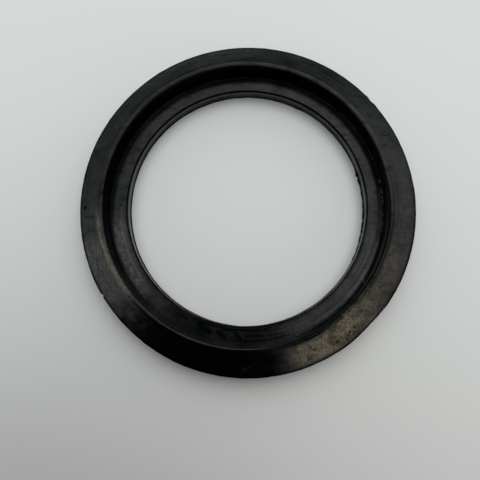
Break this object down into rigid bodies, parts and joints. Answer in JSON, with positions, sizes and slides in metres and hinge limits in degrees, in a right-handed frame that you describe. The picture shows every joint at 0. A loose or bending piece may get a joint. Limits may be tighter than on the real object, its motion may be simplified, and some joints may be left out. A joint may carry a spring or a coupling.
{
  "type": "pump casing gasket",
  "caption": "Moulded rubber ring gasket for a pump casing joint, with an upright rim, a sloped outer sealing band, a rounded crest, a recessed flat ledge and a plain bore.",
  "frame": {"origin": "centre of the ring's flat base, on its axis", "axes": "+Z along the ring's axis, from the flat base towards the crest and the recessed ledge; +X and +Y in the base plane, with the nick in the rim at 212 degrees counter-clockwise from +X"},
  "size_m": [0.1506, 0.1506, 0.015],
  "materials": {
    "rubber": "satin moulded black rubber with a faint brown-grey bloom"
  },
  "bodies": {
    "root": {"gasket": "rubber"}
  },
  "joints": []
}
